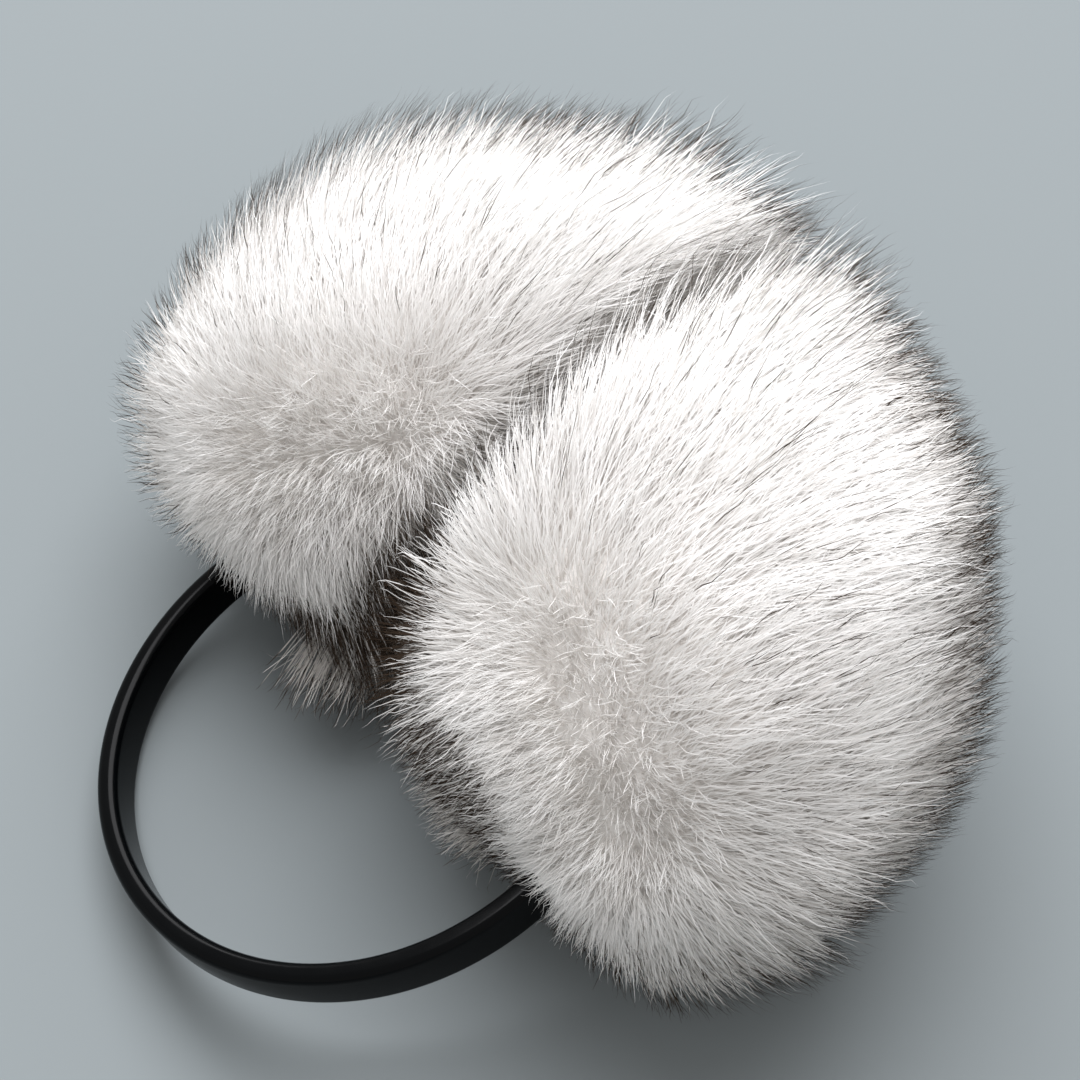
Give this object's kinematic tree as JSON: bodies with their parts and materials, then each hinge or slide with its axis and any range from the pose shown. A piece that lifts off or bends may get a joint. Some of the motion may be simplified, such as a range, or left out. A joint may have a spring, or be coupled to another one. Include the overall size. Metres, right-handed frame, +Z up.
{
  "type": "fur earmuffs",
  "caption": "Earmuffs lying down: a thin black plastic hoop band with a large round deep-fur puff on each end, the puffs pressed together.",
  "frame": {"origin": "middle of the footprint, on the surface that the earmuffs lie on", "axes": "+Z up from the surface; +X from the left puff to the right one; +Y from the hoop towards the puffs"},
  "size_m": [0.2314, 0.2222, 0.1242],
  "materials": {
    "band_plastic": "black moulded plastic with a soft satin gloss",
    "fur": "deep white-grey fox-type fur with scattered black-brown tips"
  },
  "bodies": {
    "root": {"headband": "band_plastic", "left_fur_puff": "fur", "right_fur_puff": "fur"}
  },
  "joints": []
}
